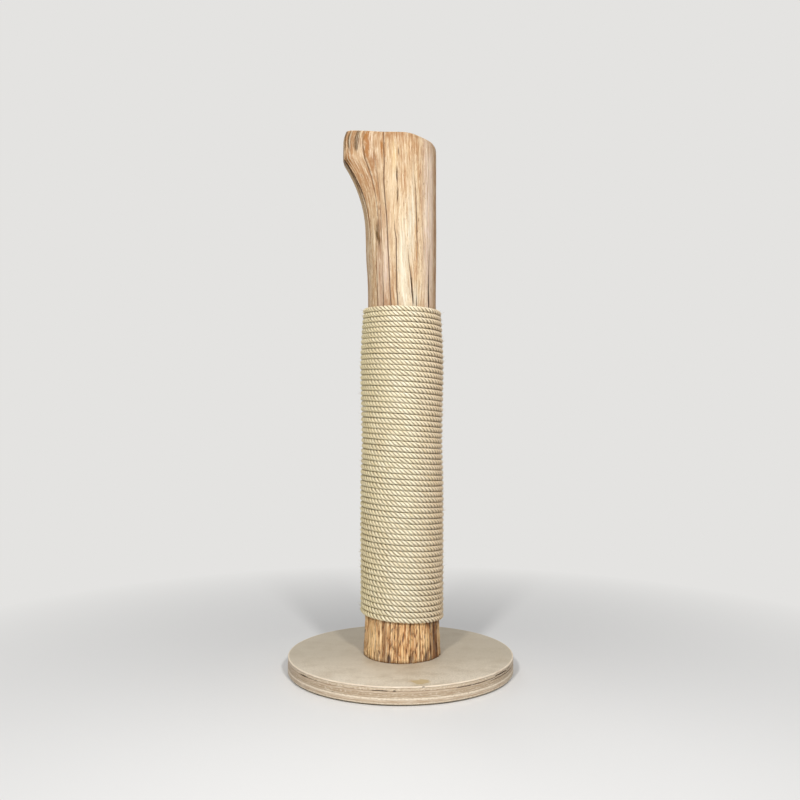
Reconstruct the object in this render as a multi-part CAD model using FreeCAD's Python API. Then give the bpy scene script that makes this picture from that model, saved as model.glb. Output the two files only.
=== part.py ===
import FreeCAD, Part
import math
import os

from FreeCAD import Vector

# A cat scratching post: a peeled log screwed to a round plywood plate and wound with sisal rope.
# Millimetres, +Z up. The origin is on the floor under the middle of the plate. The front faces -Y,
# and the stub of the log's sawn-off branch points to -X.

# Plate
plate_diameter = 400.0
plate_thickness = 28.0
plate_arris = 1.5               # rounding of its upper and lower rims

# Felt pads under the plate
pad_diameter = 30.0
pad_height = 3.0
pad_inset = 20.0                # bare plate between a pad and the rim
pad_count = 6

# Log
trunk_length = 916.5
trunk_right = 2.5               # how far right of the plate's middle it stands
trunk_forward = 10.0            # and how far in front of it
trunk_girth = (                 # height above the plate, radius of the peeled wood
    (0.0, 67.0), (55.0, 64.9), (300.0, 65.2), (375.0, 63.4), (440.0, 64.5),
    (520.0, 65.7), (572.0, 63.5), (615.0, 61.2), (720.0, 62.4), (800.0, 62.2),
)
top_tilt = 2.0                  # degrees that the sawn top rises to the left
top_round = 8.0                 # rounding of the top's rim

# Stub of the branch, at the log's top left
stub_reach = 41.7               # how far its sawn face stands out from the log's side
stub_face = 45.0                # height of the sawn face
stub_flare = 165.0              # height in which the log swells out to that face
stub_swell = 2.5                # power of the swelling: 1 is a straight slope
stub_front_angle = 266.0        # outward directions of the stub's front and back, in plan
stub_back_angle = 125.0
stub_corner = 14.0              # power that rounds the corners of the stub in plan

# Rope
rope_diameter = 8.7             # pressed together by the neighbouring turns
rope_turn_gap = 0.62            # clearance between turns
rope_seat = 0.3                 # clearance between the rope and the log
rope_foot = 64.5                # bare wood under the winding, in front
rope_head = 300.5               # bare wood above the winding
rope_slant = 3.2                # how far a turn lies above level at the left, and below it at the right
rope_slant_turns = 16           # the turns at the top over which the slant comes in
rope_end_angle = 100.0          # both ends are at the back, degrees from +X
rope_lengths = ("sisal_rope_lower", "sisal_rope_middle", "sisal_rope_upper")

# Screws from under the plate into the log
screw_diameter = 8.0
screw_length = 100.0
screw_head_diameter = 15.0
screw_head_height = 4.5
screw_point = 9.0
screw_socket = 4.6              # across the drive socket
screw_socket_depth = 3.2
screw_circle = 76.0
screw_count = 4
screw_clearance = 0.2           # all round the shank and under the head
screw_sink = 0.5                # how deep the head lies below the plate's underside

# Staples over the rope's ends
staple_wire = 1.3
staple_crown = 7.0              # over both legs
staple_leg = 22.0
staple_bite = 0.6               # how deep the crown lies in the rope
staple_clearance = 0.15
staple_first = 5.0              # from the rope's end to the middle of the first crown
staple_second = 38.0            # and to the middle of the second

plate_underside = pad_height
plate_top = plate_underside + plate_thickness
trunk_axis = Vector(trunk_right, -trunk_forward, 0)
up = Vector(0, 0, 1)


def cylinder(radius, height, base, direction=up):
    return Part.makeCylinder(radius, height, base, direction)


def turned(shape, angle):
    copy = shape.copy()
    copy.rotate(Vector(0, 0, 0), up, angle)
    return copy


def union(shapes):
    return shapes[0].fuse(shapes[1:]) if len(shapes) > 1 else shapes[0]


def peeled_radius(height):
    """Radius of the log at a height above the plate, on a smooth curve through its girths."""
    heights = [station[0] for station in trunk_girth]
    radii = [station[1] for station in trunk_girth]
    if height <= heights[0]:
        return radii[0]
    if height >= heights[-1]:
        return radii[-1]
    slopes = [0.0]
    for before, here, after in zip(trunk_girth, trunk_girth[1:], trunk_girth[2:]):
        slopes.append((after[1] - before[1]) / (after[0] - before[0]))
    slopes.append(0.0)
    lower = max(i for i in range(len(heights) - 1) if heights[i] <= height)
    span = heights[lower + 1] - heights[lower]
    share = (height - heights[lower]) / span
    ease = share * share * (3 - 2 * share)
    bend = share * (1 - share)
    rise = bend * (1 - share) * slopes[lower] - bend * share * slopes[lower + 1]
    return radii[lower] + (radii[lower + 1] - radii[lower]) * ease + rise * span


def stub_swelling(height):
    """Share of the stub's reach that the log has at a height: none below it, 1 at its sawn face."""
    below_face = trunk_length - stub_face - height
    return (1 - min(max(below_face / stub_flare, 0.0), 1.0)) ** stub_swell


def stub_outline(angle, radius):
    """How far the stub stands out from a round log in a direction, where it is at its largest."""
    sides = (
        (stub_front_angle, radius),
        (180.0, radius + stub_reach),
        (stub_back_angle, radius),
    )
    inverse = 0.0
    for side_angle, distance in sides:
        facing = math.cos(math.radians(angle - side_angle))
        inverse += (max(facing, 0.0) / distance) ** stub_corner
    if not stub_back_angle < angle < stub_front_angle:
        return 0.0
    return max(inverse ** (-1 / stub_corner) - radius, 0.0)


def trunk_section(height, inset=0.0, points=96):
    """One closed outline of the log, on evenly spaced directions. It leans into the top's slope."""
    radius = peeled_radius(height)
    swelling = stub_swelling(height)
    foot_of_face = trunk_length - stub_face
    lean = min(max((height - foot_of_face) / stub_face, 0.0), 1.0) * math.tan(math.radians(top_tilt))
    outline = []
    for i in range(points):
        angle = 360.0 * i / points
        reach = radius + swelling * stub_outline(angle, radius) - inset
        x = reach * math.cos(math.radians(angle))
        y = reach * math.sin(math.radians(angle))
        outline.append(trunk_axis + Vector(x, y, plate_top + height - lean * x))
    curve = Part.BSplineCurve()
    curve.interpolate(Points=outline, PeriodicFlag=True, Parameters=list(range(points + 1)))
    return Part.Wire([curve.toShape()])


def evenly(low, high, step):
    """Values from low to high, a whole number of nearly equal steps."""
    count = max(int(round((high - low) / step)), 2)
    return [low + (high - low) * i / count for i in range(count + 1)]


def log_solid():
    """Three lofts, one on the other: up to the stub's sawn face, beside that face, and the top's rim."""
    foot_of_face = trunk_length - stub_face
    rim_foot = trunk_length - top_round
    log = Part.makeLoft([trunk_section(height) for height in evenly(0.0, foot_of_face, 22.0)], True, False)
    face = Part.makeLoft([trunk_section(height) for height in evenly(foot_of_face, rim_foot, 12.0)], True, False)
    rim = []
    for angle in evenly(0.0, math.pi / 2, math.pi / 10):
        inset = top_round * (1 - math.cos(angle))
        rim.append(trunk_section(rim_foot + top_round * math.sin(angle), inset))
    return log.fuse([face, Part.makeLoft(rim, True, False)])


def screw_places():
    for i in range(screw_count):
        angle = math.radians(360.0 * (i + 0.5) / screw_count)
        yield trunk_axis + Vector(math.cos(angle), math.sin(angle), 0) * (screw_circle / 2)


def screw_body(base, spread):
    """A countersunk screw, or with a spread the hole that it needs, standing on its head."""
    radius = screw_diameter / 2 + spread
    head = screw_head_diameter / 2 + spread
    shank_end = screw_length - screw_point
    profile = [
        Vector(0, 0, 0),
        Vector(head, 0, 0),
        Vector(head, 0, spread),
        Vector(radius, 0, screw_head_height + spread),
        Vector(radius, 0, shank_end + spread),
        Vector(0, 0, screw_length + 2 * spread),
        Vector(0, 0, 0),
    ]
    shape = Part.Face(Part.makePolygon(profile)).revolve(Vector(0, 0, 0), up, 360)
    shape.translate(base)
    return shape


def screw_socket_tool(base):
    """A star socket with six points."""
    arms = []
    for i in range(3):
        arm = Part.makeBox(screw_socket, screw_socket / 2.6, screw_socket_depth,
                           Vector(-screw_socket / 2, -screw_socket / 5.2, 0))
        arms.append(turned(arm, 60.0 * i))
    tool = union(arms + [cylinder(screw_socket / 2.6, screw_socket_depth, Vector(0, 0, 0))])
    tool.translate(base)
    return tool


def rope_layout():
    """Number of turns, pitch, and the height of the winding's lower end above the plate."""
    wound = trunk_length - rope_foot - rope_head
    climb = wound - rope_diameter
    turns = int(climb / (rope_diameter + rope_turn_gap))
    pitch = climb / turns
    return turns, pitch, rope_foot + rope_diameter / 2


rope_turns, rope_pitch, rope_start = rope_layout()


def rope_point(turn):
    """Middle of the rope after a number of turns up from its lower end, and its direction."""
    angle = math.radians(rope_end_angle) - 2 * math.pi * turn
    slant = rope_slant * min((rope_turns - turn) / rope_slant_turns, 1.0)
    height = rope_start + rope_pitch * turn - slant * math.cos(angle)
    radius = peeled_radius(height) + rope_seat + rope_diameter / 2
    place = trunk_axis + Vector(radius * math.cos(angle), radius * math.sin(angle), plate_top + height)
    climb = rope_pitch / (2 * math.pi) - slant * math.sin(angle)
    heading = Vector(radius * math.sin(angle), -radius * math.cos(angle), climb)
    return place, heading.normalize()


def biarc(start, start_heading, end, end_heading):
    """Two arcs that join two points smoothly in their headings."""
    chord = end - start
    both = start_heading + end_heading
    a = 2 * (1 - start_heading.dot(end_heading))
    b = 2 * chord.dot(both)
    reach = (math.sqrt(b * b + 4 * a * chord.dot(chord)) - b) / (2 * a)
    first = start + start_heading * reach
    second = end - end_heading * reach
    joint = (first + second) * 0.5
    arcs = []
    for here, corner, there in ((start, first, joint), (joint, second, end)):
        inward = (corner - here).normalize()
        outward = (there - corner).normalize()
        half = math.sqrt((1 + inward.dot(outward)) / 2)
        middle = (here + corner * (2 * half) + there) * (1 / (2 + 2 * half))
        arcs.append(Part.Arc(here, middle, there).toShape())
    return arcs


def rope_path(first_turn, last_turn):
    """Route of one length of rope: straight ends one diameter long, and biarcs of a quarter turn."""
    start, start_heading = rope_point(first_turn)
    end, end_heading = rope_point(last_turn)
    knots = [(start + start_heading * rope_diameter, start_heading)]
    for quarter in range(1, 4 * (last_turn - first_turn)):
        knots.append(rope_point(first_turn + quarter / 4))
    knots.append((end - end_heading * rope_diameter, end_heading))
    edges = [Part.LineSegment(start, knots[0][0]).toShape()]
    for here, there in zip(knots, knots[1:]):
        edges += biarc(here[0], here[1], there[0], there[1])
    edges.append(Part.LineSegment(knots[-1][0], end).toShape())
    return edges


def rope_tube(edges):
    start = edges[0].Vertexes[0].Point
    heading = edges[0].tangentAt(edges[0].FirstParameter)
    circle = Part.Wire([Part.Circle(start, heading, rope_diameter / 2).toShape()])
    shell = Part.BRepOffsetAPI.MakePipeShell(Part.Wire(edges))
    shell.add(circle)
    shell.build()
    shell.makeSolid()
    return shell.shape()


def least_turn_gap(edges, step=3.0):
    """Least clearance of the rope to its own next turn, on points along the route."""
    points = []
    for edge in edges:
        points += edge.discretize(Number=max(int(edge.Length / step), 2))[:-1]
    lap = int(len(points) / rope_turns)
    least = rope_pitch
    for i, point in enumerate(points):
        for other in points[i + lap - lap // 8:i + lap + lap // 8]:
            least = min(least, point.distanceToPoint(other))
    return least - rope_diameter


def staple_places():
    """Middle of the rope under each staple, the way out from the log, and along the rope."""
    first = staple_first / rope_tube_lap()
    second = staple_second / rope_tube_lap()
    for turn in (first, second, rope_turns - second, rope_turns - first):
        place, heading = rope_point(turn)
        outward = Vector(place.x - trunk_axis.x, place.y - trunk_axis.y, 0).normalize()
        yield place, outward, heading


def rope_tube_lap():
    """Length of one turn of rope at the foot of the winding."""
    return 2 * math.pi * (peeled_radius(rope_start) + rope_seat + rope_diameter / 2)


def staple(place, outward, heading, spread):
    """A flat wire staple over the rope, or with a spread the hole that it needs."""
    outer = staple_crown / 2 + spread
    inner = staple_crown / 2 - staple_wire - spread
    crown = rope_diameter / 2 + staple_wire - staple_bite
    top = crown + spread
    under = crown - staple_wire - spread
    foot = crown - staple_leg - spread
    corners = (
        (-outer, foot), (-outer, top), (outer, top), (outer, foot),
        (inner, foot), (inner, under), (-inner, under), (-inner, foot), (-outer, foot),
    )
    across = heading.cross(outward)
    side = place - across * (staple_wire / 2 + spread)
    profile = Part.makePolygon([side + heading * along + outward * out for along, out in corners])
    return Part.Face(profile).extrude(across * (staple_wire + 2 * spread))


def staple_holes():
    return [staple(place, outward, heading, staple_clearance)
            for place, outward, heading in staple_places()]


def base_plate():
    plate = cylinder(plate_diameter / 2, plate_thickness, Vector(0, 0, plate_underside))
    rims = [edge for edge in plate.Edges if edge.Curve.TypeId == "Part::GeomCircle"]
    plate = plate.makeFillet(plate_arris, rims)
    for place in screw_places():
        base = place + up * (plate_underside + screw_sink - screw_clearance)
        plate = plate.cut(screw_body(base, screw_clearance))
        mouth = screw_head_diameter / 2 + screw_clearance
        plate = plate.cut(cylinder(mouth, base.z - plate_underside, place + up * plate_underside))
    return plate


def trunk():
    log = log_solid()
    for place in screw_places():
        base = place + up * (plate_underside + screw_sink - screw_clearance)
        log = log.cut(screw_body(base, screw_clearance))
    for hole in staple_holes():
        log = log.cut(hole)
    return log


def sisal_rope():
    """The winding, in lengths that follow one another face to face."""
    tubes = {}
    route = []
    share = rope_turns / len(rope_lengths)
    for i, name in enumerate(rope_lengths):
        edges = rope_path(round(share * i), round(share * (i + 1)))
        route += edges
        tube = rope_tube(edges)
        print(name, "turns", round(share * (i + 1)) - round(share * i),
              "volume", round(tube.Volume), "section x length",
              round(math.pi * rope_diameter ** 2 / 4 * sum(edge.Length for edge in edges)))
        tubes[name] = tube
    stapled = (rope_lengths[0], rope_lengths[0], rope_lengths[-1], rope_lengths[-1])
    for name, hole in zip(stapled, staple_holes()):
        tubes[name] = tubes[name].cut(hole)
    print("rope: turns", rope_turns, "pitch", round(rope_pitch, 3),
          "length", round(sum(edge.Length for edge in route)),
          "least gap to itself", round(least_turn_gap(route), 3))
    return tubes


def trunk_screws():
    screws = []
    for place in screw_places():
        base = place + up * (plate_underside + screw_sink)
        screws.append(screw_body(base, 0.0).cut(screw_socket_tool(base)))
    return Part.makeCompound(screws)


def rope_staples():
    return Part.makeCompound([staple(place, outward, heading, 0.0)
                              for place, outward, heading in staple_places()])


def felt_pads():
    circle = plate_diameter / 2 - pad_inset - pad_diameter / 2
    pad = cylinder(pad_diameter / 2, pad_height, Vector(circle, 0, 0))
    return Part.makeCompound([turned(pad, 360.0 * (i + 0.5) / pad_count) for i in range(pad_count)])


parts = {
    "base_plate": base_plate(),
    "trunk": trunk(),
    "trunk_screws": trunk_screws(),
    "rope_staples": rope_staples(),
    "felt_pads": felt_pads(),
}
parts.update(sisal_rope())

os.makedirs("parts", exist_ok=True)
for node, shape in parts.items():
    print(node, "solids", len(shape.Solids), "valid", shape.isValid(), "volume", round(shape.Volume))
    shape.exportStep("parts/" + node + ".step")
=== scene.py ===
import math

import bmesh
import bpy
import numpy as np
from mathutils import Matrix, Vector
from mathutils.bvhtree import BVHTree


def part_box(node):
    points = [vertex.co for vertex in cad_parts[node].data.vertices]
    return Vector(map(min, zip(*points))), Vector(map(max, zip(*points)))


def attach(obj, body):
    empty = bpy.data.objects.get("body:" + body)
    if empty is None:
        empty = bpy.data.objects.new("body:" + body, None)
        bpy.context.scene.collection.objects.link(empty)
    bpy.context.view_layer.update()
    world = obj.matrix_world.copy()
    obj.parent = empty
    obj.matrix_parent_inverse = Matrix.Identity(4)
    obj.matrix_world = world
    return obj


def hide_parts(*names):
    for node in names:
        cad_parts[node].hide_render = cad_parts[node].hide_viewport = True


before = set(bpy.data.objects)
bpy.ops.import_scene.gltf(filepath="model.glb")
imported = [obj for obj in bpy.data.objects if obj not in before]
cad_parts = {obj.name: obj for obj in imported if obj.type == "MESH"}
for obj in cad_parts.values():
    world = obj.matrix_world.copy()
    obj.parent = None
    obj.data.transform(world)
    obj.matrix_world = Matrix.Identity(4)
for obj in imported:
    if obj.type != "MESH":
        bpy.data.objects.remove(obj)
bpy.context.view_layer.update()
mm = 0.001
up = Vector((0, 0, 1))

plateLow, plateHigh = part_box("base_plate")
plateTop = plateHigh.z
trunkLow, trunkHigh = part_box("trunk")
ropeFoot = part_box("sisal_rope_lower")[0].z
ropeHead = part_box("sisal_rope_upper")[1].z
trunkAxis = (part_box("trunk_screws")[0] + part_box("trunk_screws")[1]) / 2


# Small tools

def srgb(red, green, blue):
    channels = [value / 255 for value in (red, green, blue)]
    return [c / 12.92 if c <= 0.04045 else ((c + 0.055) / 1.055) ** 2.4 for c in channels] + [1.0]


def addNode(tree, kind, inputs=None, **settings):  # a node with its settings, its values and its links
    made = tree.nodes.new(kind)
    for name, value in settings.items():
        setattr(made, name, value)
    for key, value in (inputs or {}).items():
        if isinstance(value, bpy.types.NodeSocket):
            tree.links.new(value, made.inputs[key])
        else:
            made.inputs[key].default_value = value
    return made


def maths(tree, operation, *values):
    return addNode(tree, "ShaderNodeMath", dict(enumerate(values)), operation=operation).outputs[0]


def vectorMaths(tree, operation, *values):
    keys = (0, "Scale") if operation == "SCALE" else (0, 1, 2)
    return addNode(tree, "ShaderNodeVectorMath", dict(zip(keys, values)), operation=operation).outputs[0]


def vectorLength(tree, vector):
    return addNode(tree, "ShaderNodeVectorMath", {0: vector}, operation="LENGTH").outputs["Value"]


def combine(tree, x, y, z):
    return addNode(tree, "ShaderNodeCombineXYZ", {0: x, 1: y, 2: z}).outputs[0]


def component(tree, vector, axis):
    return addNode(tree, "ShaderNodeSeparateXYZ", {0: vector}).outputs[axis]


def objectPosition(tree):
    return addNode(tree, "ShaderNodeTexCoord").outputs["Object"]


def remap(tree, value, fromLow, fromHigh, toLow, toHigh):
    return addNode(tree, "ShaderNodeMapRange", {
        "Value": value, "From Min": fromLow, "From Max": fromHigh, "To Min": toLow, "To Max": toHigh,
    }).outputs["Result"]


def mixColours(tree, factor, first, second):
    return addNode(tree, "ShaderNodeMix", {0: factor, 6: first, 7: second}, data_type="RGBA").outputs[2]


def tint(tree, colour, mask, tone):  # the colour, and the tone where the mask is 1
    return mixColours(tree, mask, colour, srgb(*tone))


def clampTo1(tree, value):
    return addNode(tree, "ShaderNodeClamp", {0: value}).outputs[0]


def noiseTexture(tree, inputs, **settings):
    return addNode(tree, "ShaderNodeTexNoise", inputs, **settings).outputs["Fac"]


def attribute(tree, name, output="Fac"):
    return addNode(tree, "ShaderNodeAttribute", attribute_name=name).outputs[output]


def smoothNoise(across, along, cellsAcross, cellsAlong, seed):  # -1 to 1, repeats across, 0 to 1 along
    grid = np.random.default_rng(seed).uniform(-1, 1, (cellsAlong + 2, cellsAcross))
    x = (across % 1.0) * cellsAcross
    y = np.clip(along, 0, 1) * cellsAlong
    column, row = np.floor(x).astype(int), np.floor(y).astype(int)
    x, y = x - column, y - row
    x, y = x * x * (3 - 2 * x), y * y * (3 - 2 * y)
    column, after = column % cellsAcross, (column + 1) % cellsAcross
    low = grid[row, column] * (1 - x) + grid[row, after] * x
    high = grid[row + 1, column] * (1 - x) + grid[row + 1, after] * x
    return low * (1 - y) + high * y


def smoothStep(low, high, value):
    share = np.clip((value - low) / (high - low), 0, 1)
    return share * share * (3 - 2 * share)


def ringFaces(rows, columns, first=0):  # quads between closed rings that lie one on the other
    ring = np.arange(columns)
    after = (ring + 1) % columns
    quads = []
    for row in range(rows - 1):
        low, high = first + row * columns, first + (row + 1) * columns
        quads.append(np.stack([low + ring, low + after, high + after, high + ring], axis=1))
    return np.concatenate(quads).tolist()


def meshObject(name, points, faces, material, attributes=None):
    mesh = bpy.data.meshes.new(name)
    mesh.from_pydata([tuple(point) for point in points], [], faces)
    for key, values in (attributes or {}).items():
        values = np.asarray(values, dtype=np.float32)
        kind = "FLOAT_VECTOR" if values.ndim == 2 else "FLOAT"
        mesh.attributes.new(key, kind, "POINT").data.foreach_set(
            "vector" if values.ndim == 2 else "value", values.ravel())
    mesh.materials.append(material)
    mesh.shade_smooth()
    mesh.validate()
    made = bpy.data.objects.new(name, mesh)
    bpy.context.collection.objects.link(made)
    return made


# Shader groups that several materials share

def nodeGroup(name, treeKind, inputs, outputs):
    tree = bpy.data.node_groups.new(name, treeKind)
    for label, kind, value in inputs:
        socket = tree.interface.new_socket(label, in_out="INPUT", socket_type="NodeSocket" + kind)
        if value is not None:
            socket.default_value = value
    for label, kind in outputs:
        tree.interface.new_socket(label, in_out="OUTPUT", socket_type="NodeSocket" + kind)
    return tree, tree.nodes.new("NodeGroupInput").outputs, tree.nodes.new("NodeGroupOutput").inputs


def makeFibreStreaks():  # long streaks along Z of the vector: 0 in a dark streak, 1 in a light one
    tree, given, result = nodeGroup(
        "fibreStreaks", "ShaderNodeTree",
        [("Vector", "Vector", None), ("Width", "Float", 0.004), ("Stretch", "Float", 20.0),
         ("Seed", "Float", 0.0), ("Contrast", "Float", 2.0), ("Levels", "Float", 10.0)],
        [("Streaks", "Float"), ("Lines", "Float")])
    perWidth = maths(tree, "DIVIDE", 1.0, given["Width"])
    perLength = maths(tree, "DIVIDE", perWidth, given["Stretch"])
    scale = combine(tree, perWidth, perWidth, perLength)
    shift = combine(tree, given["Seed"], 0.0, given["Seed"])
    place = vectorMaths(tree, "MULTIPLY_ADD", given["Vector"], scale, shift)
    noise = noiseTexture(tree, {"Vector": place, "Scale": 1.0, "Detail": 4.0, "Roughness": 0.62})
    centred = maths(tree, "SUBTRACT", noise, 0.5)
    spread = maths(tree, "MULTIPLY_ADD", centred, given["Contrast"], 0.5)
    tree.links.new(clampTo1(tree, spread), result["Streaks"])
    level = maths(tree, "PINGPONG", maths(tree, "MULTIPLY", noise, given["Levels"]), 0.5)
    tree.links.new(remap(tree, level, 0.0, 0.09, 1.0, 0.0), result["Lines"])
    return tree


def makeSoilMarks():  # soft cloudy marks from handling, 0 where clean
    tree, given, result = nodeGroup(
        "soilMarks", "ShaderNodeTree",
        [("Vector", "Vector", None), ("Size", "Float", 0.05), ("Amount", "Float", 0.5)],
        [("Marks", "Float")])
    noise = noiseTexture(tree, {
        "Vector": given["Vector"], "Scale": maths(tree, "DIVIDE", 1.0, given["Size"]),
        "Detail": 3.0, "Roughness": 0.55,
    })
    marks = remap(tree, noise, 0.45, 0.75, 0.0, 1.0)
    tree.links.new(maths(tree, "MULTIPLY", marks, given["Amount"]), result["Marks"])
    return tree


fibreStreaks = makeFibreStreaks()
soilMarks = makeSoilMarks()


def streakNode(tree, vector, width, stretch, seed, contrast=2.0, levels=10.0):
    made = addNode(tree, "ShaderNodeGroup", node_tree=fibreStreaks)
    tree.links.new(vector, made.inputs["Vector"])
    for key, value in (("Width", width), ("Stretch", stretch), ("Seed", seed), ("Contrast", contrast),
                       ("Levels", levels)):
        made.inputs[key].default_value = value
    return made.outputs


def streaks(tree, vector, width, stretch, seed, contrast):
    return streakNode(tree, vector, width, stretch, seed, contrast)["Streaks"]


def grainLine(tree, vector, width, stretch, seed, levels):  # thin wandering lines, 1 on a line
    return streakNode(tree, vector, width, stretch, seed, levels=levels)["Lines"]


def soil(tree, vector, size, amount):
    made = addNode(tree, "ShaderNodeGroup", node_tree=soilMarks)
    tree.links.new(vector, made.inputs["Vector"])
    made.inputs["Size"].default_value = size
    made.inputs["Amount"].default_value = amount
    return made.outputs["Marks"]


def newMaterial(name, **sockets):  # a Principled material with its plain values on the shader's own sockets
    material = bpy.data.materials.new(name)
    material.use_nodes = True
    tree = material.node_tree
    shader = next(item for item in tree.nodes if item.type == "BSDF_PRINCIPLED")
    for key, value in sockets.items():
        shader.inputs[key.replace("_", " ")].default_value = value
    return material, tree, shader


def bump(tree, shader, height, distance, strength=1.0):
    made = addNode(tree, "ShaderNodeBump", {"Height": height, "Distance": distance, "Strength": strength})
    tree.links.new(made.outputs["Normal"], shader.inputs["Normal"])


# Log

log = {
    "columns": 476,                # points round the log
    "rowStep": 2.5 * mm,
    "hiddenStep": 30 * mm,         # under the rope
    "hiddenFrom": 8 * mm,          # above the rope's foot
    "hiddenTo": 20 * mm,           # below its head
    "seamAngle": 45.0,             # where the columns start and end, at the back
    "grainRadius": 64 * mm,        # of the round log on which the grain is laid out
    "rimFoot": 20 * mm,            # below the sawn top, where its rim starts
    "faceFoot": 47 * mm,           # and where the stub's sawn face starts
    "frontRim": 3 * mm,            # rounding of the sawn top's rim, in front
    "sideRim": 15 * mm,            # and at its right side
    "cornerRise": 2.6 * mm,        # the stub's corner of the top, above its plane
    "cornerWear": 4.5 * mm,        # and drawn in there
    "cornerAngle": 200,            # from +X
    "cornerSpread": 45,
    "cornerReach": (66 * mm, 84 * mm),  # from the round log out to the corner
    "heart": (-4 * mm, 6 * mm),    # of the top's rings of points, beside the log's middle
    "capRings": 15,
    "lump": 0.7 * mm,              # soft unevenness all over
    "swell": 3 * mm,               # fuller at the left, above the rope
    "swellPlace": (755, 185),      # height in mm and angle from +X
    "swellSpread": (48, 42),       # up and down, and round the log
    "ridge": 0.4 * mm,             # fibres above the rope
    "footRidge": 1.3 * mm,         # coarse bast fibres under the rope
    "columnHeight": 720,           # height in mm at which each crack is given its column
    "crackDepth": 3.2,             # times its width
    "deepest": 6 * mm,             # that any crack gets
    "footCracks": 0.5,             # times their width, below the rope
    "footTop": 80,                 # height in mm up to which that holds
}

# Each line follows the grain, and carries a crack where its width is over 0: height, angle from +X, width
grainLines = {
    "edgeLine": ((940, 200, 0), (910, 200, 0.8), (880, 202, 1.2), (850, 204, 1.2), (800, 205, 1.0),
                 (740, 206, 0), (640, 206, 0), (100, 206, 0.8), (30, 206, 1.6)),
    "cornerFurrow": ((940, 204.5, 0), (912, 205, 2.0), (880, 207, 2.6), (850, 208.5, 2.4),
                     (800, 210, 1.9), (750, 211, 1.2), (700, 211, 0), (100, 211, 0.9), (30, 212, 2.0)),
    "leftCheck": ((940, 214.5, 0), (860, 218.5, 0), (760, 223.5, 0), (748, 223.7, 1.0),
                  (674, 224.8, 2.0), (640, 226, 2.0), (100, 226, 1.6), (30, 225, 2.4)),
    "leftStreak": ((940, 219, 0), (914, 220, 0.5), (860, 225, 1.0), (798, 229, 1.2), (760, 232, 0),
                   (640, 232, 0), (100, 231.5, 0), (30, 231.5, 2.0)),
    "shortCheck": ((940, 229, 0), (860, 232, 0.8), (770, 235.2, 1.0), (720, 237, 0.3), (700, 237.2, 1.2),
                   (654, 237.8, 2.4), (640, 238, 1.6), (100, 239, 0.8), (30, 239, 1.6)),
    "longCrack": ((955, 243.0, 2.0), (929, 241.8, 1.1), (897, 242.6, 1.5), (865, 240.8, 1.7),
                  (837, 241.8, 1.9), (796, 245.3, 2.1), (761, 246.7, 2.2), (671, 250, 2.2),
                  (640, 252, 2.2), (100, 252, 1.2), (30, 250, 2.2)),
    "middleCheck": ((955, 259, 0), (880, 261.5, 0), (872, 262, 0.6), (854, 263, 0.4), (835, 261.4, 0),
                    (800, 258, 0), (781, 257.8, 0.9), (760, 260.7, 1.6), (671, 261.4, 1.9),
                    (640, 263.5, 1.9), (100, 264, 1.4), (30, 263, 2.0)),
    "wedgeCheck": ((955, 276, 0), (800, 279, 0), (745, 279.8, 0), (725, 280.4, 1.2), (700, 284, 1.6),
                   (664, 287.3, 3.6), (650, 288.6, 2.2), (640, 288.6, 0.3), (100, 283, 1.5),
                   (30, 282, 2.2)),
    "rightCrack": ((955, 290, 0), (875, 291, 0), (866, 291.1, 1.0), (836, 293.2, 1.7), (802, 293.9, 2.2),
                   (775, 294.6, 2.0), (719, 296.5, 0.6), (690, 295.5, 0), (664, 294, 1.2),
                   (648, 294.2, 3.0), (638, 294.5, 2.0), (100, 297, 1.4), (30, 298, 2.0)),
    "edgeCheck": ((955, 306, 0), (800, 306, 0), (780, 306, 0.9), (735, 308.5, 1.2), (715, 309, 0),
                  (640, 309, 0), (100, 308, 0), (30, 308, 1.8)),
    "edgeCrack": ((955, 321, 0), (760, 320.5, 0), (735, 319.6, 1.8), (700, 318.4, 2.6), (674, 318, 3.2),
                  (640, 319, 3.6), (100, 318, 2.4), (30, 317, 3.0)),
    "rightCheck": ((955, 338, 1.2), (905, 337, 0), (820, 337, 0), (790, 337, 1.4), (700, 338, 1.6),
                   (660, 338, 0), (100, 336, 2.6), (30, 337, 3.4)),
    "sideCrack": ((955, 368, 1.8), (900, 366, 1.4), (780, 364, 1.0), (700, 363, 0), (100, 362, 1.2),
                  (30, 361, 1.8)),
    "backLong": ((955, 76, 2.2), (900, 77, 2.0), (820, 80, 1.8), (700, 84, 1.6), (640, 86, 1.4),
                 (100, 88, 1.8), (30, 88, 2.4)),
    "backShort": ((955, 112, 0), (860, 110, 0), (800, 109, 1.2), (730, 108, 1.5), (680, 108, 0),
                  (100, 110, 0), (30, 110, 1.6)),
    "backStub": ((955, 146, 1.3), (900, 145, 1.1), (840, 141, 1.0), (760, 138, 1.2), (700, 138, 0),
                 (100, 140, 1.5), (30, 140, 2.2)),
    "stubSide": ((955, 181, 1.2), (915, 181, 0.9), (880, 181, 0), (760, 178, 0), (100, 176, 0),
                 (30, 176, 1.8)),
}


def nominalColumn(angle):  # more columns on the front half than on the back
    angles = (log["seamAngle"], 180.0, 335.0, log["seamAngle"] + 360)
    return np.interp(angle, angles, [share * log["columns"] for share in (0, 0.25, 0.82, 1)])


def lineColumns():
    placed = []
    for route in grainLines.values():
        heights = [point[0] for point in route][::-1]
        angles = [point[1] for point in route][::-1]
        widths = [point[2] for point in route][::-1]
        middle = float(np.interp(log["columnHeight"], heights, angles))
        placed.append((int(round(nominalColumn(middle))), heights, angles, widths))
    return sorted(placed)


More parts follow.
